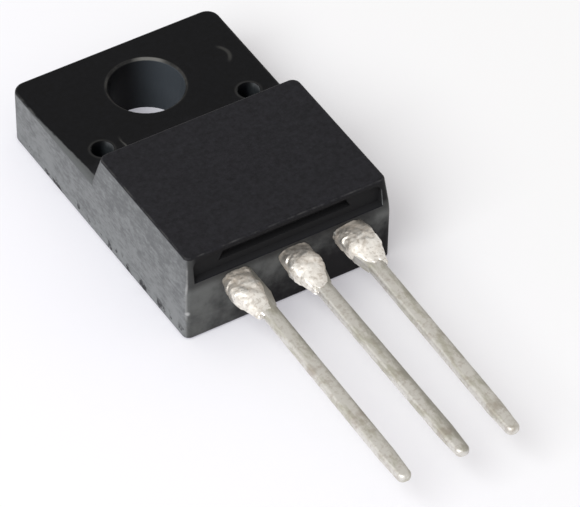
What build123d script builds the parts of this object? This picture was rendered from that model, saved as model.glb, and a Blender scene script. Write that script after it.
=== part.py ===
from build123d import *
from math import pi, sin
import os

os.makedirs("parts", exist_ok=True)

# Fully moulded, isolated three-lead transistor. Sizes in millimetres.
# Origin: the screw hole's axis on the flat back face. +Z points to the front face,
# the leads leave the body towards -Y.

# moulded body
body_length = 15.0
back_width = 10.16
parting_width = 10.24
front_width = 9.86
body_thick = 4.5
tab_thick = 2.85
hole_to_tab_end = 3.0
tab_corner = 0.6
lead_end_corner = 0.3
block_length = 7.6
step_run = 0.5
step_corner = 0.4
draft_height = 3.15
end_draft = 0.2
front_edge = 0.15
tab_edge = 0.18
back_edge = 0.08

# screw hole
hole_radius = 1.7
hole_rim = 0.1

# wide pocket in the end face over the leads, and the deeper slot in its middle
pocket_width = 9.3
pocket_corner = 0.35
pocket_ceiling = 4.26
pocket_depth = 0.4
slot_width = 6.5
slot_top_width = 5.8
slot_floor = 3.52
slot_depth = 0.75

# the two pits left by the mould's hold-down pins
pit_radius = 0.5
pit_draft = 4.0
pit_spacing = 7.34
pit_to_hole = 2.55

# lead frame, stamped from one sheet
frame_thick = 0.4
lead_plane = 2.6
lead_pitch = 2.54
lead_length = 13.7
lead_width = 0.75
lead_tip = 0.26
lead_tip_width = 0.6
lead_tip_taper = 1.6
lead_edge = 0.14
shoulder_width = 1.15
shoulder_length = 1.7
shoulder_taper = 0.8
gate_lead_lean = -0.22
collector_lead_lean = -0.11
emitter_lead_lean = -0.26
gate_lead_shift = 0.02
collector_lead_shift = 0.17
emitter_lead_shift = 0.22
shoulder_inside = 1.1
post_width = 2.2
post_length = 1.1
pad_width = 8.2
pad_back = 0.75
pad_to_lead_end = 2.0
pad_hole_gap = 1.1
ear_width = 1.5
ear_margin = 0.25
neck_width = 1.6
bend_run = 0.75

# chip, its solder and the bond wires
chip_size = 4.2
chip_thick = 0.2
chip_to_lead_end = 5.4
die_solder_thick = 0.05
die_solder_margin = 0.15
gate_wire_radius = 0.08
emitter_wire_radius = 0.15
emitter_wire_spacing = 0.8
foot_length = 0.45
foot_sink = 0.25
loop_rise = 0.9
loop_bends = 6
gate_pad_to_side = 0.9
gate_pad_to_end = 0.55
gate_landing_out = 0.35
emitter_pad_out = 0.55
emitter_pad_up = 0.2
emitter_landing_in = 0.1
landing_in = 0.2

# solder left on the lead shoulders
solder_side = 0.14
solder_over = 0.2
solder_seam = 0.03
solder_reach = 2.9
solder_crest = 0.09
lump_at = 0.8
lump_side = 0.06
waist_at = 1.3

tab_end_y = hole_to_tab_end
lead_end_y = tab_end_y - body_length
step_top_y = lead_end_y + block_length
step_foot_y = step_top_y + step_run
gate_x = -lead_pitch + gate_lead_shift
collector_x = collector_lead_shift
emitter_x = lead_pitch + emitter_lead_shift
frame_top = lead_plane + frame_thick / 2
frame_bottom = lead_plane - frame_thick / 2
lead_tip_y = lead_end_y - lead_length
pad_top = pad_back + frame_thick
pad_edge_y = lead_end_y + pad_to_lead_end
pad_to_hole = hole_radius + pad_hole_gap
ear_x = (pad_width - ear_width) / 2
ear_end_y = pit_radius + ear_margin - pit_to_hole
chip_y = lead_end_y + chip_to_lead_end
chip_base = pad_top + die_solder_thick
chip_top = chip_base + chip_thick
die_solder_size = chip_size + 2 * die_solder_margin
shoulder_inner_y = lead_end_y + shoulder_inside
post_middle_y = shoulder_inner_y + post_length / 2
post_out = (post_width - shoulder_width) / 2
shoulder_y = lead_end_y - shoulder_length
taper_y = shoulder_y - shoulder_taper
narrowing_y = lead_tip_y + lead_tip_taper


def lead_strip(centre_x, lean):
    """Plan of the narrow part of one lead, from the end of its taper to its rounded tip.

    lean is how far the tip stands to the side of the shoulder.
    """
    half_lead = lead_width / 2
    half_tip = lead_tip_width / 2
    narrowing_x = centre_x + lean * (taper_y - narrowing_y) / (taper_y - lead_tip_y)
    return [
        (centre_x - half_lead, taper_y),
        (narrowing_x - half_lead, narrowing_y),
        (centre_x - half_tip + lean, lead_tip_y),
        (centre_x + half_tip + lean, lead_tip_y),
        (narrowing_x + half_lead, narrowing_y),
        (centre_x + half_lead, taper_y),
    ]


def lead_shoulder(centre_x):
    """Plan of the wide part of one lead: from inside the body out to the end of its taper."""
    half_shoulder = shoulder_width / 2
    half_lead = lead_width / 2
    return [
        (centre_x - half_shoulder, shoulder_inner_y),
        (centre_x - half_shoulder, shoulder_y),
        (centre_x - half_lead, taper_y),
        (centre_x + half_lead, taper_y),
        (centre_x + half_shoulder, shoulder_y),
        (centre_x + half_shoulder, shoulder_inner_y),
    ]


def lead_tip_edges(lead):
    """The two upright edges at a lead's tip."""
    return lead.edges().filter_by(Axis.Z).group_by(Axis.Y)[0]


def lead_long_edges(lead):
    """The level edges of a narrow lead that its plating has rounded."""
    rims = lead.faces().filter_by(Plane.XY).edges()
    return rims.filter_by(lambda edge: edge.center().Y < taper_y - lead_width)


# Gate and emitter leads: flat, each with a bond post inside the body.
with BuildPart() as gate_lead:
    with BuildSketch(Plane.XY.offset(frame_bottom)) as gate_plan:
        with BuildLine() as gate_edge:
            Polyline(*lead_strip(gate_x, gate_lead_lean), close=True)
        make_face()
    extrude(amount=frame_thick)
    fillet(lead_tip_edges(gate_lead), lead_tip)
    fillet(lead_long_edges(gate_lead), lead_edge)
    with BuildSketch(Plane.XY.offset(frame_bottom)) as gate_shoulder_plan:
        with BuildLine() as gate_shoulder_edge:
            Polyline(*lead_shoulder(gate_x), close=True)
        make_face()
        with Locations((gate_x - post_out, post_middle_y)):
            Rectangle(post_width, post_length)
    extrude(amount=frame_thick)

with BuildPart() as emitter_lead:
    with BuildSketch(Plane.XY.offset(frame_bottom)) as emitter_plan:
        with BuildLine() as emitter_edge:
            Polyline(*lead_strip(emitter_x, emitter_lead_lean), close=True)
        make_face()
    extrude(amount=frame_thick)
    fillet(lead_tip_edges(emitter_lead), lead_tip)
    fillet(lead_long_edges(emitter_lead), lead_edge)
    with BuildSketch(Plane.XY.offset(frame_bottom)) as emitter_shoulder_plan:
        with BuildLine() as emitter_shoulder_edge:
            Polyline(*lead_shoulder(emitter_x), close=True)
        make_face()
        with Locations((emitter_x + post_out, post_middle_y)):
            Rectangle(post_width, post_length)
    extrude(amount=frame_thick)

# Collector frame: the middle lead steps down to the pad that carries the chip.
with BuildPart() as collector_frame:
    with BuildSketch(Plane.XY.offset(frame_bottom)) as collector_plan:
        with BuildLine() as collector_edge:
            Polyline(*lead_strip(collector_x, collector_lead_lean), close=True)
        make_face()
    extrude(amount=frame_thick)
    fillet(lead_tip_edges(collector_frame), lead_tip)
    fillet(lead_long_edges(collector_frame), lead_edge)
    with BuildSketch(Plane.XY.offset(frame_bottom)) as collector_shoulder_plan:
        with BuildLine() as collector_shoulder_edge:
            Polyline(*lead_shoulder(collector_x), close=True)
        make_face()
    extrude(amount=frame_thick)
    with BuildSketch(Plane.YZ.offset(collector_x)) as neck_side:
        with BuildLine() as neck_edge:
            Polyline(
                (shoulder_inner_y, frame_bottom),
                (shoulder_inner_y, frame_top),
                (pad_edge_y - bend_run, frame_top),
                (pad_edge_y, pad_top),
                (pad_edge_y + frame_thick, pad_top),
                (pad_edge_y + frame_thick, pad_back),
                (pad_edge_y - frame_thick / 2, pad_back),
                (pad_edge_y - bend_run - frame_thick / 2, frame_bottom),
                close=True,
            )
        make_face()
    extrude(amount=neck_width / 2, both=True)
    with BuildSketch(Plane.XY.offset(pad_back)) as pad_plan:
        with Locations((0, (pad_edge_y - pad_to_hole) / 2)):
            Rectangle(pad_width, -pad_to_hole - pad_edge_y)
        with Locations((-ear_x, (ear_end_y - pad_to_hole) / 2), (ear_x, (ear_end_y - pad_to_hole) / 2)):
            Rectangle(ear_width, ear_end_y + pad_to_hole)
    extrude(amount=frame_thick)

# Solder layer under the chip, and the chip.
with BuildPart() as chip_solder:
    with BuildSketch(Plane.XY.offset(pad_top)) as chip_solder_plan:
        with Locations((0, chip_y)):
            RectangleRounded(die_solder_size, die_solder_size, die_solder_margin)
    extrude(amount=die_solder_thick)

with BuildPart() as igbt_chip:
    with BuildSketch(Plane.XY.offset(chip_base)) as chip_plan:
        with Locations((0, chip_y)):
            Rectangle(chip_size, chip_size)
    extrude(amount=chip_thick)


def wire_run(chip_end, post_end):
    """Level unit direction from a bond wire's chip end to its post end."""
    return Vector(post_end[0] - chip_end[0], post_end[1] - chip_end[1], 0).normalized()


def wire_points(radius, chip_end, post_end):
    """Bond wire axis: a level foot on the chip, a raised loop, and a level foot on the lead's post."""
    on_chip = chip_top + radius * (1 - foot_sink)
    on_post = frame_top + radius * (1 - foot_sink)
    foot = wire_run(chip_end, post_end) * foot_length
    start = Vector(chip_end[0], chip_end[1], on_chip)
    finish = Vector(post_end[0], post_end[1], on_post)
    heel = start + foot
    landing = finish - foot
    points = [start, heel]
    for bend in range(1, loop_bends):
        along = bend / loop_bends
        height = loop_rise * sin(pi * along)
        points.append(heel + (landing - heel) * along + Vector(0, 0, height))
    return points + [landing, finish]


gate_pad = (gate_pad_to_side - chip_size / 2, chip_y - chip_size / 2 + gate_pad_to_end)
gate_landing = (gate_x - gate_landing_out, shoulder_inner_y + landing_in)
inner_pad = (emitter_pad_out, chip_y + emitter_pad_up)
inner_landing = (emitter_x - emitter_landing_in, shoulder_inner_y + landing_in)
outer_pad = (inner_pad[0] + emitter_wire_spacing, inner_pad[1])
outer_landing = (inner_landing[0] + emitter_wire_spacing, inner_landing[1])

with BuildPart() as gate_wire:
    with BuildLine() as gate_wire_line:
        Polyline(*wire_points(gate_wire_radius, gate_pad, gate_landing))
    with BuildSketch(Plane(gate_wire_line.line @ 0, z_dir=wire_run(gate_pad, gate_landing))):
        Circle(gate_wire_radius)
    sweep(transition=Transition.RIGHT)
    add(igbt_chip.part, mode=Mode.SUBTRACT)
    add(gate_lead.part, mode=Mode.SUBTRACT)

with BuildPart() as emitter_wire_inner:
    with BuildLine() as inner_wire_line:
        Polyline(*wire_points(emitter_wire_radius, inner_pad, inner_landing))
    with BuildSketch(Plane(inner_wire_line.line @ 0, z_dir=wire_run(inner_pad, inner_landing))):
        Circle(emitter_wire_radius)
    sweep(transition=Transition.RIGHT)
    add(igbt_chip.part, mode=Mode.SUBTRACT)
    add(emitter_lead.part, mode=Mode.SUBTRACT)

with BuildPart() as emitter_wire_outer:
    with BuildLine() as outer_wire_line:
        Polyline(*wire_points(emitter_wire_radius, outer_pad, outer_landing))
    with BuildSketch(Plane(outer_wire_line.line @ 0, z_dir=wire_run(outer_pad, outer_landing))):
        Circle(emitter_wire_radius)
    sweep(transition=Transition.RIGHT)
    add(igbt_chip.part, mode=Mode.SUBTRACT)
    add(emitter_lead.part, mode=Mode.SUBTRACT)


def upright_edges(body, low, high):
    """The steep edges of a body whose middle lies between two positions along Y."""
    steep = body.edges().filter_by(lambda edge: abs(edge.tangent_at(0.5).Z) > 0.8)
    return steep.filter_by_position(Axis.Y, low - 0.01, high + 0.01)


# Moulded body: a drafted bar cut to the side profile, then the hole, pits, pocket and slot.
with BuildPart() as moulded_body:
    with BuildSketch(Plane.XZ.offset(-lead_end_y)) as cross_section:
        with BuildLine() as cross_edge:
            Polyline(
                (-back_width / 2, 0),
                (back_width / 2, 0),
                (parting_width / 2, lead_plane),
                (front_width / 2, body_thick),
                (-front_width / 2, body_thick),
                (-parting_width / 2, lead_plane),
                close=True,
            )
        make_face()
    extrude(amount=-body_length)
    with BuildSketch(Plane.YZ) as side_profile:
        with BuildLine() as side_edge:
            Polyline(
                (lead_end_y, 0),
                (tab_end_y, 0),
                (tab_end_y, tab_thick),
                (step_foot_y, tab_thick),
                (step_top_y, body_thick),
                (lead_end_y + end_draft, body_thick),
                (lead_end_y, draft_height),
                close=True,
            )
        make_face()
    extrude(amount=back_width, both=True, mode=Mode.INTERSECT)
    fillet(upright_edges(moulded_body, tab_end_y, tab_end_y), tab_corner)
    fillet(upright_edges(moulded_body, step_top_y, step_foot_y), step_corner)
    fillet(upright_edges(moulded_body, lead_end_y, lead_end_y + end_draft), lead_end_corner)
    front_rim = moulded_body.faces().filter_by(Plane.XY).sort_by(Axis.Z)[-1].edges()
    fillet(front_rim, front_edge)
    level_faces = moulded_body.faces().filter_by(Plane.XY)
    tab_face = level_faces.filter_by_position(Axis.Z, tab_thick - 0.1, tab_thick + 0.1)
    tab_rim = tab_face.edges().filter_by(lambda edge: edge.center().Y > step_foot_y + step_corner)
    fillet(tab_rim, tab_edge)
    chamfer(moulded_body.faces().filter_by(Plane.XY).sort_by(Axis.Z)[0].edges(), back_edge)
    with BuildSketch(Plane.XY) as hole_plan:
        Circle(hole_radius)
    extrude(amount=tab_thick, mode=Mode.SUBTRACT)
    with BuildSketch(Plane.XZ) as rim_section:
        with BuildLine() as rim_line:
            Polyline(
                (0, tab_thick - hole_rim),
                (hole_radius, tab_thick - hole_rim),
                (hole_radius + hole_rim, tab_thick),
                (0, tab_thick),
                close=True,
            )
        make_face()
    revolve(axis=Axis.Z, mode=Mode.SUBTRACT)
    with BuildSketch(Plane.XY.offset(tab_thick)) as pit_plan:
        with Locations((-pit_spacing / 2, -pit_to_hole), (pit_spacing / 2, -pit_to_hole)):
            Circle(pit_radius)
    extrude(amount=pad_top - tab_thick, taper=pit_draft, mode=Mode.SUBTRACT)
    with BuildSketch(Plane.XZ.offset(-lead_end_y)) as pocket_outline:
        with Locations((0, (draft_height + pocket_ceiling) / 2)):
            Rectangle(pocket_width, pocket_ceiling - draft_height)
        fillet(pocket_outline.vertices().group_by(Axis.Y)[-1], pocket_corner)
    extrude(amount=-pocket_depth, mode=Mode.SUBTRACT)
    with BuildSketch(Plane.XZ.offset(-lead_end_y)) as slot_outline:
        with BuildLine() as slot_edge:
            Polyline(
                (-slot_width / 2, slot_floor),
                (slot_width / 2, slot_floor),
                (slot_top_width / 2, pocket_ceiling),
                (-slot_top_width / 2, pocket_ceiling),
                close=True,
            )
        make_face()
    extrude(amount=-slot_depth, mode=Mode.SUBTRACT)
    add(gate_lead.part, mode=Mode.SUBTRACT)
    add(emitter_lead.part, mode=Mode.SUBTRACT)
    add(collector_frame.part, mode=Mode.SUBTRACT)
    add(chip_solder.part, mode=Mode.SUBTRACT)
    add(igbt_chip.part, mode=Mode.SUBTRACT)
    add(gate_wire.part, mode=Mode.SUBTRACT)
    add(emitter_wire_inner.part, mode=Mode.SUBTRACT)
    add(emitter_wire_outer.part, mode=Mode.SUBTRACT)


def solder_section(centre_x, distance, half_width, half_height, lift):
    """One rounded cross-section of a lead's solder coat at a distance from the body's end face."""
    with BuildSketch(Plane.XZ.offset(-lead_end_y + distance)) as section:
        with Locations((centre_x, lead_plane + lift)):
            RectangleRounded(2 * half_width, 2 * half_height, min(half_width, half_height) * 0.9)
    return section.sketch


def lead_centre(centre_x, lean, distance):
    """Sideways position of a leaning lead's middle at a distance from the body's end face."""
    leaning_length = lead_length - shoulder_length - shoulder_taper
    return centre_x + lean * max(0, distance - shoulder_length - shoulder_taper) / leaning_length


# Solder left on each shoulder: a lumpy sleeve that starts at the body's end face and
# thins out where the lead narrows.
coat_side = shoulder_width / 2 + solder_side
coat_over = frame_thick / 2 + solder_over
seam_side = shoulder_width / 2 + solder_seam
thin_side = lead_width / 2 + solder_seam
thin_over = frame_thick / 2 + solder_seam


def coat_sections(centre_x, lean, sway, swell, lift):
    """Cross-sections of one solder coat, from the body's end face to its thin edge on the lead.

    sway is how far the lump leans sideways, swell how much thicker it is, lift how far up it sits.
    """
    thin_x = lead_centre(centre_x, lean, solder_reach)
    return [
        solder_section(centre_x + sway / 2, 0, coat_side, coat_over, lift / 4),
        solder_section(centre_x + sway, lump_at, coat_side + lump_side, coat_over + swell, lift),
        solder_section(centre_x + sway / 2, waist_at, coat_side, coat_over + swell / 2, lift / 2),
        solder_section(centre_x, shoulder_length, seam_side, thin_over + solder_crest, lift / 4),
        solder_section(thin_x, solder_reach, thin_side, thin_over, 0),
    ]


with BuildPart() as gate_lead_solder:
    loft(coat_sections(gate_x, gate_lead_lean, -0.06, 0.04, -0.04), ruled=True)
    add(gate_lead.part, mode=Mode.SUBTRACT)

with BuildPart() as collector_lead_solder:
    loft(coat_sections(collector_x, collector_lead_lean, 0.04, 0.1, 0.08), ruled=True)
    add(collector_frame.part, mode=Mode.SUBTRACT)

with BuildPart() as emitter_lead_solder:
    loft(coat_sections(emitter_x, emitter_lead_lean, 0.1, 0.1, 0.08), ruled=True)
    add(emitter_lead.part, mode=Mode.SUBTRACT)

moulded_body.part.label = "moulded_body"
collector_frame.part.label = "collector_frame"
gate_lead.part.label = "gate_lead"
emitter_lead.part.label = "emitter_lead"
chip_solder.part.label = "chip_solder"
igbt_chip.part.label = "igbt_chip"
gate_wire.part.label = "gate_wire"
emitter_wire_inner.part.label = "emitter_wire_inner"
emitter_wire_outer.part.label = "emitter_wire_outer"
gate_lead_solder.part.label = "gate_lead_solder"
collector_lead_solder.part.label = "collector_lead_solder"
emitter_lead_solder.part.label = "emitter_lead_solder"

export_step(moulded_body.part, "parts/moulded_body.step")
export_step(collector_frame.part, "parts/collector_frame.step")
export_step(gate_lead.part, "parts/gate_lead.step")
export_step(emitter_lead.part, "parts/emitter_lead.step")
export_step(chip_solder.part, "parts/chip_solder.step")
export_step(igbt_chip.part, "parts/igbt_chip.step")
export_step(gate_wire.part, "parts/gate_wire.step")
export_step(emitter_wire_inner.part, "parts/emitter_wire_inner.step")
export_step(emitter_wire_outer.part, "parts/emitter_wire_outer.step")
export_step(gate_lead_solder.part, "parts/gate_lead_solder.step")
export_step(collector_lead_solder.part, "parts/collector_lead_solder.step")
export_step(emitter_lead_solder.part, "parts/emitter_lead_solder.step")
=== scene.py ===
import bpy
import math
from mathutils import Matrix, Vector


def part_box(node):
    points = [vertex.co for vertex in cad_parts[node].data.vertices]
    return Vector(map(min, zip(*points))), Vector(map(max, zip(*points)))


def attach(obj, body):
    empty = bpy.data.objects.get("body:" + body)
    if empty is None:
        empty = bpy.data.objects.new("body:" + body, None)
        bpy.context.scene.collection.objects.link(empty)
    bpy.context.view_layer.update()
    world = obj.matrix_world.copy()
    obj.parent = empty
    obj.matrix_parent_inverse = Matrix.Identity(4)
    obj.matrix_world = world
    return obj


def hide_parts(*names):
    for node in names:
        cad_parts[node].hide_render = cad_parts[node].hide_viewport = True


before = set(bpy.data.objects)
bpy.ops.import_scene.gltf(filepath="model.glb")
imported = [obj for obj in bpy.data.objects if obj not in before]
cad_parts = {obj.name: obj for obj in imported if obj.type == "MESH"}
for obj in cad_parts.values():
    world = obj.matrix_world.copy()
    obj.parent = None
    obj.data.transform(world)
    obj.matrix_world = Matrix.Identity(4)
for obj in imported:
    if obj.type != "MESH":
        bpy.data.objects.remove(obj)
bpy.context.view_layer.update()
mm = 0.001


class Link:
    # a node socket that can stand in a sum
    def __init__(self, work, socket):
        self.work = work
        self.socket = socket

    def maths(self, operation, *values):
        if any(isinstance(value, Link) and value.socket.type == "VECTOR" for value in values):
            return self.work.vector(operation, *values)
        return self.work.maths(operation, *values)

    def __add__(self, other):
        return self.maths("ADD", self, other)

    def __radd__(self, other):
        return self.maths("ADD", other, self)

    def __sub__(self, other):
        return self.maths("SUBTRACT", self, other)

    def __rsub__(self, other):
        return self.maths("SUBTRACT", other, self)

    def __mul__(self, other):
        return self.maths("MULTIPLY", self, other)

    def __rmul__(self, other):
        return self.maths("MULTIPLY", other, self)

    def __truediv__(self, other):
        return self.maths("DIVIDE", self, other)

    def __rtruediv__(self, other):
        return self.maths("DIVIDE", other, self)

    def __pow__(self, other):
        return self.maths("POWER", self, other)

    def __neg__(self):
        return self.maths("MULTIPLY", self, -1.0)

    def __abs__(self):
        return self.maths("ABSOLUTE", self)


class NodeWork:
    # adds nodes to one tree; settings come before the sockets are filled
    def __init__(self, tree):
        self.tree = tree
        tree.nodes.clear()

    def add(self, kind, settings=None, inputs=None, output=0):
        node = self.tree.nodes.new(kind)
        for name, value in (settings or {}).items():
            setattr(node, name, value)
        for name, value in (inputs or {}).items():
            if isinstance(value, Link):
                self.tree.links.new(value.socket, node.inputs[name])
            else:
                node.inputs[name].default_value = value
        return Link(self, node.outputs[output]) if node.outputs else None

    def sibling(self, link, name):
        return Link(self, link.socket.node.outputs[name])

    def maths(self, operation, *values):
        return self.add("ShaderNodeMath", {"operation": operation}, dict(enumerate(values)))

    def vector(self, operation, *values):
        return self.add("ShaderNodeVectorMath", {"operation": operation}, dict(enumerate(values)))

    def scaled(self, vector, factor):
        return self.add("ShaderNodeVectorMath", {"operation": "SCALE"}, {0: vector, "Scale": factor})

    def distance(self, place, target):
        return self.add("ShaderNodeVectorMath", {"operation": "DISTANCE"}, {0: place, 1: target}, "Value")

    def split(self, vector):
        x = self.add("ShaderNodeSeparateXYZ", None, {0: vector})
        return x, self.sibling(x, "Y"), self.sibling(x, "Z")

    def joined(self, x, y, z):
        return self.add("ShaderNodeCombineXYZ", None, {0: x, 1: y, 2: z})

    def noise(self, place, scale, detail=3.0, roughness=0.5):
        return self.add("ShaderNodeTexNoise", None,
                        {"Vector": place, "Scale": scale, "Detail": detail, "Roughness": roughness})

    def noiseColour(self, place, scale):
        return self.add("ShaderNodeTexNoise", None, {"Vector": place, "Scale": scale, "Detail": 1.0}, "Color")

    def step(self, value, low, high):
        # 0 below low, 1 above high, smooth between
        return self.add("ShaderNodeMapRange", {"interpolation_type": "SMOOTHSTEP"},
                        {"Value": value, "From Min": low, "From Max": high})

    def blend(self, factor, first, second):
        # mixes two colours
        return self.add("ShaderNodeMix", {"data_type": "RGBA"}, {0: factor, 6: first, 7: second}, 2)


def newMaterial(name):
    material = bpy.data.materials.new(name)
    material.use_nodes = True
    work = NodeWork(material.node_tree)
    place = work.add("ShaderNodeTexCoord", output="Object")
    # object coordinates in millimetres
    return material, work, work.scaled(place, 1 / mm)


def finishMaterial(work, sockets, bumps=()):
    # bumps are (height, distance in mm, strength), coarse ones first
    normal = None
    for height, distance, strength in bumps:
        inputs = {"Height": height, "Distance": distance * mm, "Strength": strength}
        if normal:
            inputs["Normal"] = normal
        normal = work.add("ShaderNodeBump", None, inputs)
    if normal:
        sockets["Normal"] = normal
    surface = work.add("ShaderNodeBsdfPrincipled", None, sockets)
    work.add("ShaderNodeOutputMaterial", None, {"Surface": surface})


# the black case; places and sizes are in millimetres
moulding = {
    "tabColour": (0.0033, 0.0035, 0.0046, 1),
    "frontColour": (0.0142, 0.0140, 0.0172, 1),
    # the flanks' grey is painted reflection of the pale floor, and their scuffs are paler still
    "flankSheenColour": (0.143, 0.147, 0.155, 1),
    "scuffAndSheenColour": (0.236, 0.243, 0.253, 1),
    "endColour": (0.012, 0.0115, 0.013, 1),
    # the lead end's pale colour stands for real dust and painted light together
    "dustAndLitColour": (0.142, 0.146, 0.147, 1),
    "boreColour": (0.0050, 0.0050, 0.0060, 1),
    "boreLight": (0.060, 0.070, 0.082, 1),
    "pitColour": (0.0040, 0.0045, 0.0060, 1),
    "pitLight": (0.027, 0.031, 0.034, 1),
    "pocketColour": (0.0220, 0.0220, 0.0240, 1),
    "wornColour": (0.26, 0.255, 0.24, 1),
    "rubbedColour": (0.125, 0.13, 0.133, 1),
    # the colour of the painted highlight on the corner beside the gate lead
    "cornerHighlightColour": (0.50, 0.50, 0.51, 1),
    "roughness": 0.46,
    "specular": 0.12,
    "grainPerMm": 16.0,
    "blotchPerMm": 1.1,
    "mottlePerMm": 5.0,
    "nickPerMm": 1.9,
    "wearPerMm": 1.4,
    "dragAcross": 7.0,
    "dragAlong": 2.6,
    "nickStrength": 0.85,
    "wornStrength": 0.15,
    "rubbedStrength": 0.9,
    # strengths of the painted highlight line and the painted glint on that corner
    "highlightLineStrength": 0.55,
    "glintStrength": 0.8,
    "ringStrength": 0.12,
    "scratchStrength": 0.32,
    "pitEdgeStrength": 0.12,
    "gateSide": -5.0,
    "tabFace": 2.85,
    "stepCorner": (-4.85, -4.25, 2.85),
    # where the painted glint sits on that corner
    "cornerGlintPlace": (-5.0, -11.96, 1.5),
    "holeRadius": 1.70,
    # where a painted highlight brightens the hole's rim
    "rimHighlightPlace": (1.0, 1.4, 0.0),
    "pitPlace": (3.67, -2.55, 0.0),
    "pitRadius": 0.50,
    "ringPlace": (3.55, 0.05, 0.0),
    "ringRadius": 0.62,
    "scratchX": -2.69,
    "pocketHalfWidth": 4.66,
    "pocketFloor": 3.10,
    "pocketRoof": 4.28,
    "pocketDepth": 0.8,
    "bevelFoot": 3.15,
    "bevelSlope": 0.148,
}


def flankSheenAndScuffs(work, place, z, drag, blotch):
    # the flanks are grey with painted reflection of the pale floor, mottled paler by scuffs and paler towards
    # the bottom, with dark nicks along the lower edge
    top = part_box("moulded_body")[1][2] / mm
    scuffsAndLowerSheen = work.step(drag * 0.6 + blotch * 0.5 + (top - z) * 0.03, 0.48, 0.74)
    colour = work.blend(scuffsAndLowerSheen, moulding["flankSheenColour"], moulding["scuffAndSheenColour"])
    nick = work.step(work.noise(place, moulding["nickPerMm"], 3.0, 0.6), 0.56, 0.64)
    nick = nick * (1.0 - work.step(z, 0.25, 0.9))
    return work.blend(nick * moulding["nickStrength"], colour, moulding["endColour"])


def leadEndDustAndShade(work, x, y, z, blotch):
    # the lead end is pale with real dust and with painted light where the lamp grazes it, palest high up, on
    # the gate side and past the last lead; painted shade darkens it low down between the blobs, where they
    # shade it
    across = x - moulding["gateSide"]
    shadeBelow = 1.0 - work.step(z, 0.3, 3.1)
    dustAndLight = 0.88 - across * 0.05 - shadeBelow * (0.20 + across * 0.075) + (blotch - 0.5) * 1.2
    dustAndLight = work.step(dustAndLight + work.step(x, 3.6, 4.6) * 0.35, 0.0, 1.0)
    # the pale paint is left off the bevel above the pocket's foot, and painted shade darkens the face just
    # under it
    lip = work.step(z, 3.2, 3.5) * work.step(x, -4.75, -4.45)
    dustAndLight = dustAndLight * (1.0 - lip) * (1.0 - 0.65 * work.step(z, 2.6, 3.1))
    dustAndLight = dustAndLight * work.step(-y, 9.0, 11.0)
    return work.blend(dustAndLight, moulding["endColour"], moulding["dustAndLitColour"])


def topFinish(work, place, y, nz, blotch):
    # the front and the back are a shade greyer than the tab
    front = work.step((blotch - 0.5) * 1.5 - y, 2.5, 4.4)
    greyer = work.maths("MAXIMUM", front, work.step(-nz, 0.3, 0.6))
    colour = work.blend(greyer, moulding["tabColour"], moulding["frontColour"])
    return work.scaled(colour, 0.15 + 1.7 * work.noise(place, moulding["mottlePerMm"], 3.0, 0.7))


def pocketMask(work, x, y, z):
    # inward is the depth behind the lead end, which slopes above its bevel's foot
    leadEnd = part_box("moulded_body")[0][1] / mm
    bevel = work.maths("MAXIMUM", z - moulding["bevelFoot"], 0.0) * moulding["bevelSlope"]
    inward = y - leadEnd - bevel
    width, floor, roof = (moulding[name] for name in ("pocketHalfWidth", "pocketFloor", "pocketRoof"))
    depth = moulding["pocketDepth"]
    mask = work.step(inward, 0.03, 0.10) * (1.0 - work.step(inward, depth, depth + 0.1))
    mask = mask * (1.0 - work.step(abs(x), width, width + 0.06)) * work.step(z, floor, floor + 0.04)
    return mask * (1.0 - work.step(z, roof, roof + 0.06))


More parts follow.
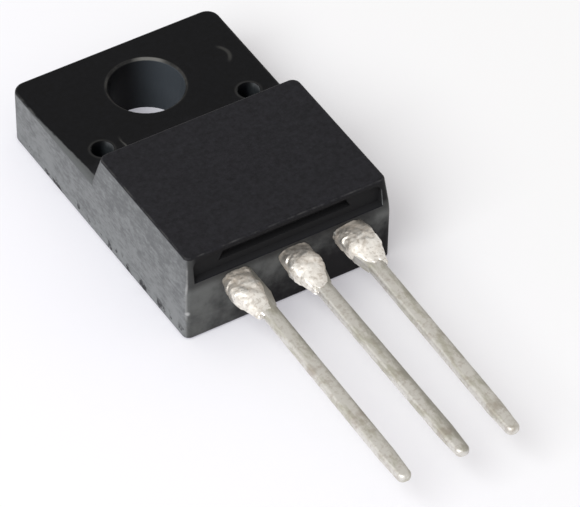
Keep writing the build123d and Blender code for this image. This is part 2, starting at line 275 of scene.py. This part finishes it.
def mouldingMaterial():
    material, work, place = newMaterial("blackMoulding")
    nx, ny, nz = work.split(work.add("ShaderNodeTexCoord", output="Normal"))
    x, y, z = work.split(place)
    grain = work.noise(place, moulding["grainPerMm"], 4.0, 0.6)
    blotch = work.noise(place, moulding["blotchPerMm"], 5.0, 0.62)
    # drag marks run along the case
    dragAcross, dragAlong = moulding["dragAcross"], moulding["dragAlong"]
    drag = work.noise(work.joined(x * dragAcross, y * dragAlong, z * dragAcross), 1.0, 5.0, 0.7)
    # the flanks are both sides and the tab's end, apart from the step's own wall
    wall = 1.0 - work.step(abs(nz), 0.12, 0.45)
    flank = work.step(work.maths("MAXIMUM", abs(nx), ny), 0.55, 0.9)
    flank = flank * (1.0 - work.step(-y, 2.0, 2.5) * work.step(ny, 0.5, 0.7))
    # the flanks get their painted reflection, and the lead end its painted light and shade over dust
    sides = work.blend(flank, leadEndDustAndShade(work, x, y, z, blotch), flankSheenAndScuffs(work, place, z, drag, blotch))
    colour = work.blend(wall, topFinish(work, place, y, nz, blotch), sides)
    # an edge is where the surface turns between two faces
    square = work.maths("MAXIMUM", work.maths("MAXIMUM", abs(nx), abs(ny)), abs(nz))
    edge = 1.0 - work.step(square, 0.72, 0.93)
    worn = edge * work.step(work.noise(place, moulding["wearPerMm"], 3.0, 0.6), 0.40, 0.66)
    colour = work.blend(worn * moulding["wornStrength"], colour, moulding["wornColour"])
    # the tab's edge beside the step is rubbed grey
    tabFace = moulding["tabFace"]
    tabTop = work.step(nz, 0.1, 0.2) * (1.0 - work.step(z, tabFace + 0.01, tabFace + 0.05))
    rubbedTo = -5.10 + 0.36 * work.step(-y, -2.0, 5.4) + (drag - 0.5) * 0.12
    rubbed = 1.0 - work.step(x - rubbedTo, -0.04, 0.04)
    nearStep = 1.0 - work.step(work.distance(place, moulding["stepCorner"]), 0.15, 0.75)
    rubbed = tabTop * work.maths("MAXIMUM", rubbed, nearStep * (0.2 + 0.6 * blotch))
    colour = work.blend(rubbed * moulding["rubbedStrength"], colour, moulding["rubbedColour"])
    # painted highlight: a light line down the corner beside the gate lead, stronger where its edge is worn,
    # and a painted glint low down on it
    cornerHighlight = work.step(nx * ny, 0.43, 0.50) * (1.0 - work.step(x, -4.9, -4.7))
    cornerHighlight = cornerHighlight * (1.0 - work.step(y, -11.6, -11.5))
    cornerHighlight = cornerHighlight * work.step(z, 0.9, 1.6) * (1.0 - work.step(z, 3.7, 4.3)) * (0.4 + 0.6 * worn)
    cornerGlint = 1.0 - work.step(work.distance(place, moulding["cornerGlintPlace"]), 0.04, 0.17)
    light = work.maths("MAXIMUM", cornerHighlight * moulding["highlightLineStrength"], cornerGlint * moulding["glintStrength"])
    colour = work.blend(light, colour, moulding["cornerHighlightColour"])
    # the pocket, the bore and the pits stay dark, and the bore and the pits are painted lighter on the wall
    # that faces the lamp
    pocket = pocketMask(work, x, y, z)
    flat = work.joined(x, y, 0.0)
    holeRadius, pitRadius = moulding["holeRadius"], moulding["pitRadius"]
    fromHole = work.distance(flat, (0.0, 0.0, 0.0))
    bore = 1.0 - work.step(fromHole, holeRadius, holeRadius + 0.03)
    fromPit = work.distance(work.joined(abs(x), y, 0.0), moulding["pitPlace"])
    pit = 1.0 - work.step(fromPit, pitRadius - 0.03, pitRadius + 0.02)
    boreShade = work.blend(work.step(-nx, -0.1, 1.0), moulding["boreColour"], moulding["boreLight"])
    pitShade = work.blend(work.step(-nx, 0.2, 0.9), moulding["pitColour"], moulding["pitLight"])
    colour = work.blend(pocket, colour, moulding["pocketColour"])
    colour = work.blend(bore, colour, boreShade)
    colour = work.blend(pit, colour, pitShade)
    # the screw's head has worn the rim paler in patches and left a faint ring on the tab, and a painted
    # highlight brightens one place on the rim
    rim = work.step(fromHole, holeRadius, holeRadius + 0.03)
    rim = rim * (1.0 - work.step(fromHole, holeRadius + 0.10, holeRadius + 0.16)) * work.step(z, 2.6, 2.7)
    rimHighlight = 1.0 - work.step(work.distance(flat, moulding["rimHighlightPlace"]), 0.3, 0.9)
    rimWearAndHighlight = rim * (0.13 * blotch + 0.5 * rimHighlight)
    ringEdge = abs(work.distance(flat, moulding["ringPlace"]) - moulding["ringRadius"])
    ring = (1.0 - work.step(ringEdge, 0.02, 0.14)) * work.step(x, 3.8, 4.1) * tabTop
    # a short scratch beside the gate side's pit, and a paler line round both pits
    scratch = 1.0 - work.step(abs(x - moulding["scratchX"] + (drag - 0.5) * 0.3), 0.01, 0.09)
    scratch = scratch * tabTop * work.step(-y, 2.1, 3.1) * (1.0 - work.step(-y, 3.15, 3.3))
    pitEdge = work.step(fromPit, pitRadius, pitRadius + 0.04)
    pitEdge = tabTop * pitEdge * (1.0 - work.step(fromPit, pitRadius + 0.06, pitRadius + 0.16)) * blotch
    faint = work.maths("MAXIMUM", scratch * moulding["scratchStrength"], ring * moulding["ringStrength"])
    faint = work.maths("MAXIMUM", faint, pitEdge * moulding["pitEdgeStrength"])
    colour = work.blend(work.maths("MAXIMUM", rimWearAndHighlight, faint), colour, moulding["wornColour"])
    hidden = work.maths("MAXIMUM", bore, pit)
    rough = moulding["roughness"] + 0.12 * blotch + 0.10 * wall - 0.12 * hidden + 0.3 * pocket
    finish = {"Base Color": colour, "Roughness": rough, "Specular IOR Level": moulding["specular"]}
    finishMaterial(work, {**finish, "IOR": 1.5}, [(blotch, 0.02, 0.25), (grain, 0.006, 0.5)])
    return material


# the leads; places and sizes are in millimetres
tinned = {
    "bright": (0.78, 0.762, 0.722, 1),
    "dull": (0.60, 0.585, 0.51, 1),
    "brown": (0.45, 0.39, 0.33, 1),
    "shade": (0.36, 0.345, 0.31, 1),
    "roughness": 0.42,
    "patchAcross": 2.4,
    "patchAlong": 0.8,
    "finePerMm": 9.0,
    "stainPerMm": 0.8,
    "speckPerMm": 4.5,
    "stainStrength": 0.6,
    "speckStrength": 0.35,
    "shadeStrength": 0.7,
    "middle": 0.137,
    "apart": 2.64,
    "leanFrom": -14.5,
    "lean": 0.0176,
    "halfWidth": 0.375,
}


def tinnedMaterial():
    material, work, place = newMaterial("tinnedCopper")
    x, y, z = work.split(place)
    patchAcross, patchAlong = tinned["patchAcross"], tinned["patchAlong"]
    patch = work.noise(work.joined(x * patchAcross, y * patchAlong, z * patchAcross), 1.0, 4.0, 0.6)
    fine = work.noise(place, tinned["finePerMm"], 4.0, 0.6)
    stain = work.step(work.noise(place, tinned["stainPerMm"], 3.0, 0.6), 0.55, 0.72)
    speck = work.step(work.noise(place, tinned["speckPerMm"], 3.0, 0.6), 0.50, 0.66)
    # how far from its middle line each lead's skin is; past its shoulder a lead leans a little
    leaning = work.maths("MINIMUM", y - tinned["leanFrom"], 0.0) * tinned["lean"]
    beside = x - tinned["middle"] - leaning
    beside = beside - work.maths("ROUND", beside / tinned["apart"]) * tinned["apart"]
    # the tin is domed, and painted shade darkens its right-hand edge, which turns away from the lamp
    dome = 1.0 - (beside / tinned["halfWidth"]) ** 2.0
    shade = work.step(beside + (patch - 0.5) * 0.5, 0.02, 0.42)
    colour = work.blend(work.step(patch, 0.45, 0.66), tinned["bright"], tinned["dull"])
    colour = work.blend(stain * tinned["stainStrength"], colour, tinned["brown"])
    colour = work.blend(speck * tinned["speckStrength"], colour, tinned["brown"])
    colour = work.blend(shade * tinned["shadeStrength"], colour, tinned["shade"])
    rough = tinned["roughness"] + 0.20 * patch + 0.08 * fine
    finishMaterial(work, {"Base Color": colour, "Roughness": rough, "Metallic": 1.0},
                   [(dome, 0.05, 1.0), (patch, 0.03, 0.5), (fine, 0.012, 0.6)])
    return material


# where a finish starts and ends along the leads is a pair of distances from the hole
solderFinish = {
    "bright": (0.97, 0.945, 0.90, 1),
    # the creamy white of the painted highlight on each blob's far end
    "paintedHighlight": (0.95, 0.90, 0.84, 1),
    "dull": (0.74, 0.70, 0.645, 1),
    "flux": (0.42, 0.35, 0.28, 1),
    "roughness": 0.26,
    "patchPerMm": 1.8,
    "speckPerMm": 6.0,
    "dentPerMm": 5.0,
    "finePerMm": 12.0,
    "speckStrength": 0.45,
    "burntStrength": 0.6,
    "creaseStrength": 0.5,
    "highlightStrength": 0.6,
    "burntUpTo": (12.1, 13.6),
    # where the painted highlight starts and ends
    "highlightFrom": (12.8, 13.5),
    "highlightUpTo": (14.2, 14.6),
}


def solderMaterial():
    material, work, place = newMaterial("oldSolder")
    patch = work.noise(place, solderFinish["patchPerMm"], 4.0, 0.6)
    dent = work.noise(place, solderFinish["dentPerMm"], 3.0, 0.6)
    fine = work.noise(place, solderFinish["finePerMm"], 4.0, 0.6)
    crease = work.add("ShaderNodeAttribute", {"attribute_name": "crease"}, output="Fac")
    colour = work.blend(work.step(patch, 0.42, 0.64), solderFinish["bright"], solderFinish["dull"])
    speck = work.step(work.noise(place, solderFinish["speckPerMm"], 2.0, 0.6), 0.50, 0.64)
    colour = work.blend(speck * solderFinish["speckStrength"], colour, solderFinish["flux"])
    # burnt flux is left in the creases and against the case
    out = -work.split(place)[1]
    burnt = 1.0 - work.step(out - (patch - 0.5) * 2.0, *solderFinish["burntUpTo"])
    burnt = burnt * solderFinish["burntStrength"]
    burnt = work.maths("MAXIMUM", burnt, crease * solderFinish["creaseStrength"])
    colour = work.blend(burnt, colour, solderFinish["flux"])
    # painted highlight: the far end is painted a creamy white, most of all where it faces the gate side and
    # the lamp
    nx = work.split(work.add("ShaderNodeTexCoord", output="Normal"))[0]
    paintedHighlight = work.step(out + (patch - 0.5) * 1.6, *solderFinish["highlightFrom"])
    paintedHighlight = paintedHighlight * (1.0 - work.step(out, *solderFinish["highlightUpTo"]))
    paintedHighlight = paintedHighlight * (0.35 + 0.65 * work.step(-nx, -0.35, 0.35)) * (1.0 - 0.5 * speck)
    colour = work.blend(paintedHighlight * solderFinish["highlightStrength"], colour, solderFinish["paintedHighlight"])
    # a skin of oxide dulls the metal in patches, and the painted highlight is less metallic so that it
    # renders whiter
    metal = (0.85 - 0.45 * work.step(patch, 0.38, 0.60)) * (1.0 - 0.6 * paintedHighlight)
    rough = solderFinish["roughness"] + 0.20 * patch + 0.15 * crease
    finishMaterial(work, {"Base Color": colour, "Roughness": rough, "Metallic": metal},
                   [(dent, 0.03, 0.5), (fine, 0.012, 0.6)])
    return material


# what lies inside the case
inside = {
    "dieSolder": {"colour": (0.55, 0.55, 0.54, 1), "roughness": 0.4, "grainPerMm": 8.0},
    "bondWire": {"colour": (0.85, 0.85, 0.86, 1), "roughness": 0.25, "grainPerMm": 20.0},
    "cellColour": (0.12, 0.14, 0.19, 1),
    "streetColour": (0.30, 0.31, 0.34, 1),
    "cellsPerMm": 5.0,
}


def plainMetal(name):
    material, work, place = newMaterial(name)
    metal = inside[name]
    grain = work.noise(place, metal["grainPerMm"], 3.0, 0.55)
    darker = tuple(part * 0.8 for part in metal["colour"][:3]) + (1,)
    shade = work.blend(grain, metal["colour"], darker)
    rough = metal["roughness"] + 0.1 * grain
    finishMaterial(work, {"Base Color": shade, "Roughness": rough, "Metallic": 1.0}, [(grain, 0.004, 0.4)])
    return material


def siliconMaterial():
    material, work, place = newMaterial("siliconDie")
    # the fine parallel cells of the die's front
    cells = work.add("ShaderNodeTexWave", None,
                     {"Vector": place, "Scale": inside["cellsPerMm"], "Distortion": 0.0})
    shade = work.blend(cells * 0.5, inside["cellColour"], inside["streetColour"])
    finishMaterial(work, {"Base Color": shade, "Roughness": 0.2 + 0.1 * cells, "Metallic": 0.6},
                   [(cells, 0.002, 0.3)])
    return material


def dress(names, material):
    for name in names:
        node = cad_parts[name]
        node.data.materials.clear()
        node.data.materials.append(material)


solderDress = solderMaterial()
dress(["moulded_body"], mouldingMaterial())
dress(["gate_lead", "emitter_lead", "collector_frame"], tinnedMaterial())
dress(["gate_lead_solder", "collector_lead_solder", "emitter_lead_solder"], solderDress)
dress(["igbt_chip"], siliconMaterial())
dress(["chip_solder"], plainMetal("dieSolder"))
dress(["gate_wire", "emitter_wire_inner", "emitter_wire_outer"], plainMetal("bondWire"))
print("materials done")


# the blob of solder on each lead's shoulder; sizes in millimetres, shares of its length as pairs
blob = {
    "inputs": [
        ("Start", "NodeSocketVector", (0.0, 0.0, 0.0)),
        ("Length", "NodeSocketFloat", 2.8),
        ("Lean", "NodeSocketFloat", 0.0),
        ("Sway", "NodeSocketFloat", 0.0),
        ("Lift", "NodeSocketFloat", 0.0),
        ("Wide Side", "NodeSocketFloat", 0.70),
        ("Wide Over", "NodeSocketFloat", 0.42),
        ("Thin Side", "NodeSocketFloat", 0.42),
        ("Thin Over", "NodeSocketFloat", 0.24),
        ("Bulge", "NodeSocketFloat", 0.08),
        ("Lump Height", "NodeSocketFloat", 0.24),
        ("Crease Depth", "NodeSocketFloat", 0.03),
        ("Rings", "NodeSocketInt", 150),
        ("Around", "NodeSocketInt", 120),
        ("Seed", "NodeSocketFloat", 0.0),
        ("Material", "NodeSocketMaterial", None),
    ],
    "squareness": 2.7,
    "narrows": (0.46, 0.98),
    "tucks": (0.93, 1.0),
    "lumpsPerMm": 1.4,
    "cellsPerMm": 1.1,
    "ripplesPerMm": 3.2,
    "rippleHeight": 0.05,
    "creaseWidth": 0.22,
    "bendsPerMm": 1.6,
    "bend": 0.8,
}


def blobTree():
    tree = bpy.data.node_groups.new("solderBlob", "GeometryNodeTree")
    work = NodeWork(tree)
    for name, kind, value in blob["inputs"]:
        socket = tree.interface.new_socket(name, in_out="INPUT", socket_type=kind)
        if value is not None:
            socket.default_value = value
    tree.interface.new_socket("Geometry", in_out="OUTPUT", socket_type="NodeSocketGeometry")
    given = work.add("NodeGroupInput")
    wanted = {name: work.sibling(given, name) for name, kind, value in blob["inputs"]}
    far = work.joined(0.0, -wanted["Length"], 0.0)
    line = work.add("GeometryNodeCurvePrimitiveLine", None, {"End": far})
    rail = work.add("GeometryNodeResampleCurve", None, {"Curve": line, "Count": wanted["Rings"]})
    ring = work.add("GeometryNodeCurvePrimitiveCircle", None, {"Resolution": wanted["Around"], "Radius": 0.5})
    rail, along = captured(work, rail, "Along")
    ring, turn = captured(work, ring, "Turn")
    skin = work.add("GeometryNodeCurveToMesh", None,
                    {"Curve": rail, "Profile Curve": ring, "Fill Caps": True})
    # each ring becomes a soft rectangle, wide on the shoulder and thin on the lead
    angle = turn * (2 * math.pi)
    cosine, sine = work.maths("COSINE", angle), work.maths("SINE", angle)
    power = 2 / blob["squareness"]
    across = work.maths("SIGN", cosine) * abs(cosine) ** power
    upward = work.maths("SIGN", sine) * abs(sine) ** power
    thinning = work.step(along, *blob["narrows"])
    swell = work.maths("SINE", work.maths("MINIMUM", along * 1.5, 1.0) * math.pi) * wanted["Bulge"]
    # the far end hugs the lead, then tucks in under its skin
    tuck = 1.0 - 0.25 * work.step(along, *blob["tucks"])
    wide = 1.0 - thinning
    halfSide = (wanted["Wide Side"] * wide + wanted["Thin Side"] * thinning + swell) * tuck
    halfOver = (wanted["Wide Over"] * wide + wanted["Thin Over"] * thinning + swell) * tuck
    offLead = wide * work.step(along, 0.0, 0.3)
    centreX = wanted["Lean"] * thinning + wanted["Sway"] * offLead
    centreZ = wanted["Lift"] * offLead
    ragged = work.noise(work.joined(cosine, sine, wanted["Seed"] * 2.7), 1.3, 2.0, 0.5) - 0.7
    plainY = -along * (wanted["Length"] + ragged * along ** 3.0)
    plainX, plainZ = centreX + across * halfSide, centreZ + upward * halfOver
    # lumps, and creases where the skin of the solder has wrinkled
    apart = work.joined(wanted["Seed"] * 7.3, 0.0, wanted["Seed"] * 3.1)
    sample = work.joined(plainX, plainY, plainZ) + apart
    lumps = work.noise(sample, blob["lumpsPerMm"], 2.0, 0.45) - 0.5
    bent = sample + work.scaled(work.noiseColour(sample, blob["bendsPerMm"]), blob["bend"])
    cells = work.add("ShaderNodeTexVoronoi", {"feature": "DISTANCE_TO_EDGE"},
                     {"Vector": bent, "Scale": blob["cellsPerMm"]})
    crease = 1.0 - work.step(cells, 0.0, blob["creaseWidth"])
    ripple = work.noise(bent, blob["ripplesPerMm"], 2.0, 0.5) - 0.5
    fade = 0.25 + 0.75 * wide
    push = lumps * wanted["Lump Height"] - crease * wanted["Crease Depth"]
    push = (push + ripple * blob["rippleHeight"]) * fade
    finalX, finalZ = plainX + across * push, plainZ + upward * push
    place = work.scaled(work.joined(finalX, plainY, finalZ), mm) + wanted["Start"]
    skin = work.add("GeometryNodeSetPosition", None, {"Geometry": skin, "Position": place})
    skin = work.add("GeometryNodeStoreNamedAttribute", {"data_type": "FLOAT", "domain": "POINT"},
                    {"Geometry": skin, "Name": "crease", "Value": crease * wide})
    skin = work.add("GeometryNodeSetShadeSmooth", None, {"Geometry": skin})
    skin = work.add("GeometryNodeRealizeInstances", None, {"Geometry": skin})
    skin = work.add("GeometryNodeSetMaterial", None, {"Geometry": skin, "Material": wanted["Material"]})
    work.add("NodeGroupOutput", None, {"Geometry": skin})
    return tree


def captured(work, curve, name):
    # stores how far round or along a curve each point is
    factor = work.add("GeometryNodeSplineParameter", output="Factor")
    node = work.add("GeometryNodeCaptureAttribute", None, {"Geometry": curve}).socket.node
    node.capture_items.new("FLOAT", name)
    work.tree.links.new(factor.socket, node.inputs[name])
    return Link(work, node.outputs["Geometry"]), Link(work, node.outputs[name])


def grown(name, tree, values):
    # runs the node tree once and keeps its result as a plain mesh
    piece = bpy.data.objects.new(name, bpy.data.meshes.new(name))
    bpy.context.scene.collection.objects.link(piece)
    modifier = piece.modifiers.new("grow", "NODES")
    modifier.node_group = tree
    for item in tree.interface.items_tree:
        if item.in_out == "INPUT" and item.name in values:
            modifier[item.identifier] = values[item.name]
    bpy.context.view_layer.update()
    shown = piece.evaluated_get(bpy.context.evaluated_depsgraph_get())
    plain = bpy.data.meshes.new_from_object(shown)
    piece.modifiers.remove(modifier)
    piece.data = plain
    plain.name = name
    return piece


def solderBlob(name, tree, choice):
    # starts flat against the case, round the middle of the lead
    low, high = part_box(choice["node"])
    leadLow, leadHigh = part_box("gate_lead")
    start = ((low[0] + high[0]) / 2 + choice["shift"] * mm, high[1], (leadLow[2] + leadHigh[2]) / 2)
    piece = grown(name, tree, {"Start": start, "Material": solderDress, **choice["inputs"]})
    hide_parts(choice["node"])
    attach(piece, "root")


gateBlob = {
    "node": "gate_lead_solder",
    "shift": -0.04,
    "inputs": {"Lean": -0.12, "Sway": -0.10, "Lift": -0.05, "Wide Side": 0.66, "Seed": 1.0},
}
collectorBlob = {
    "node": "collector_lead_solder",
    "shift": -0.04,
    "inputs": {"Lean": -0.09, "Sway": -0.02, "Lift": 0.04, "Seed": 2.0},
}
emitterBlob = {
    "node": "emitter_lead_solder",
    "shift": 0.0,
    "inputs": {"Lean": 0.02, "Sway": 0.03, "Lift": 0.05, "Wide Side": 0.73, "Seed": 3.0},
}

growth = blobTree()
solderBlob("gateSolderBlob", growth, gateBlob)
solderBlob("collectorSolderBlob", growth, collectorBlob)
solderBlob("emitterSolderBlob", growth, emitterBlob)
print("solder done")


# the floor, the air and the lamp
studio = {
    "floorSize": 1.2,
    "floorColour": (0.80, 0.80, 0.80, 1),
    "floorRoughness": 0.9,
    "glowLeft": (0.172, 0.165, 0.225, 1),
    "glowRight": (0.136, 0.134, 0.148, 1),
    "glowSpan": (-18.0, 18.0),
    "worldColour": (0.612, 0.596, 0.570, 1),
    "keyColour": (0.955, 0.98, 1.0),
    "keyPlace": (-0.46, -0.18, 0.51),
    "keyAim": (0.0, -0.01, 0.0),
    "keySize": 0.5,
    "keyPower": 3.6,
}


def addFloor():
    half = studio["floorSize"] / 2
    corners = [(-half, -half, 0), (half, -half, 0), (half, half, 0), (-half, half, 0)]
    mesh = bpy.data.meshes.new("floor")
    mesh.from_pydata(corners, [], [(0, 1, 2, 3)])
    floor = bpy.data.objects.new("floor", mesh)
    bpy.context.scene.collection.objects.link(floor)
    material, work, place = newMaterial("paleFloor")
    camera = work.add("ShaderNodeLightPath", output="Is Camera Ray")
    glossy = work.sibling(camera, "Is Glossy Ray")
    through = work.sibling(camera, "Is Transmission Ray")
    seen = work.maths("MAXIMUM", camera, work.maths("MAXIMUM", glossy, through))
    # a little brighter and cooler on the left
    across = work.step(work.split(place)[0], *studio["glowSpan"])
    glow = work.blend(across, studio["glowLeft"], studio["glowRight"])
    glow = work.blend(seen, (0.0, 0.0, 0.0, 1), glow)
    surface = work.add("ShaderNodeBsdfPrincipled", None, {
        "Base Color": studio["floorColour"], "Roughness": studio["floorRoughness"], "Specular IOR Level": 0.0,
        "Emission Color": glow, "Emission Strength": 1.0})
    work.add("ShaderNodeOutputMaterial", None, {"Surface": surface})
    mesh.materials.append(material)


def addWorld():
    world = bpy.data.worlds.new("studioAir")
    world.use_nodes = True
    bpy.context.scene.world = world
    work = NodeWork(world.node_tree)
    air = work.add("ShaderNodeBackground", None, {"Color": studio["worldColour"], "Strength": 1.0})
    work.add("ShaderNodeOutputWorld", None, {"Surface": air})


def addKey():
    light = bpy.data.lights.new("keyLight", "AREA")
    light.shape = "SQUARE"
    light.size = studio["keySize"]
    light.energy = studio["keyPower"]
    light.color = studio["keyColour"]
    lamp = bpy.data.objects.new("keyLight", light)
    bpy.context.scene.collection.objects.link(lamp)
    lamp.location = studio["keyPlace"]
    aim = Vector(studio["keyAim"]) - lamp.location
    lamp.rotation_euler = aim.to_track_quat("-Z", "Y").to_euler()


# where the camera stands, in degrees and metres
view = {
    "azimuth": -31.785,
    "elevation": 43.981,
    "roll": 0.68,
    "lens": 358.5,
    "distance": 0.24506,
    "target": (0.000554, -0.011302, 0.002),
    "shift": (-0.0033, -0.0064),
    "nearest": 0.01,
}


def addCamera():
    turn, lift, roll = (math.radians(view[name]) for name in ("azimuth", "elevation", "roll"))
    back = Vector((math.sin(turn) * math.cos(lift), -math.cos(turn) * math.cos(lift), math.sin(lift)))
    right = (-back).cross(Vector((0, 0, 1))).normalized()
    up = right.cross(-back)
    leanRight = right * math.cos(roll) + up * math.sin(roll)
    leanUp = up * math.cos(roll) - right * math.sin(roll)
    data = bpy.data.cameras.new("camera")
    data.lens = view["lens"]
    data.shift_x, data.shift_y = view["shift"]
    data.clip_start = view["nearest"]
    camera = bpy.data.objects.new("camera", data)
    bpy.context.scene.collection.objects.link(camera)
    turned = Matrix((leanRight, leanUp, back)).transposed().to_4x4()
    camera.matrix_world = Matrix.Translation(Vector(view["target"]) + back * view["distance"]) @ turned
    bpy.context.scene.camera = camera


addFloor()
addWorld()
addKey()
addCamera()
bpy.context.scene.view_settings.view_transform = "Standard"
print("studio done")
